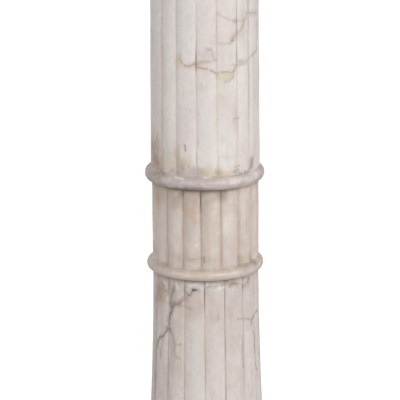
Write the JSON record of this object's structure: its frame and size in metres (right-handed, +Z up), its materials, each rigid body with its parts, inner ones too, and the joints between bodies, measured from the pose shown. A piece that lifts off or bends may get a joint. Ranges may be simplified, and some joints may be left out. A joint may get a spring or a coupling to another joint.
{
  "type": "doric column",
  "caption": "Free-standing stone column: reeded shaft banded by half-round rings round a short drum, turned base on a square plinth, plain capital and flat square top for a bust or vase.",
  "frame": {"origin": "middle of the plinth's underside, on the column's axis", "axes": "+Z up along the column's axis; -Y is the side that the picture shows, with +X to its right; the plinth's sides are square to X and Y"},
  "size_m": [0.27, 0.27, 1.0444],
  "materials": {
    "white_alabaster": "honed, slightly waxy, faint grey-brown veins",
    "beige_alabaster": "honed, cloudy, darker dirt in the grooves",
    "grey_alabaster": "honed, cloudy, faint bedding streaks",
    "veined_alabaster": "honed, brown and grey veins with dark knots"
  },
  "bodies": {
    "root": {"plinth": "veined_alabaster", "base": "veined_alabaster", "lower_shaft": "veined_alabaster", "lower_ring": "beige_alabaster", "drum": "beige_alabaster", "upper_ring": "grey_alabaster", "upper_shaft": "white_alabaster", "capital": "white_alabaster", "abacus": "white_alabaster"}
  },
  "joints": []
}
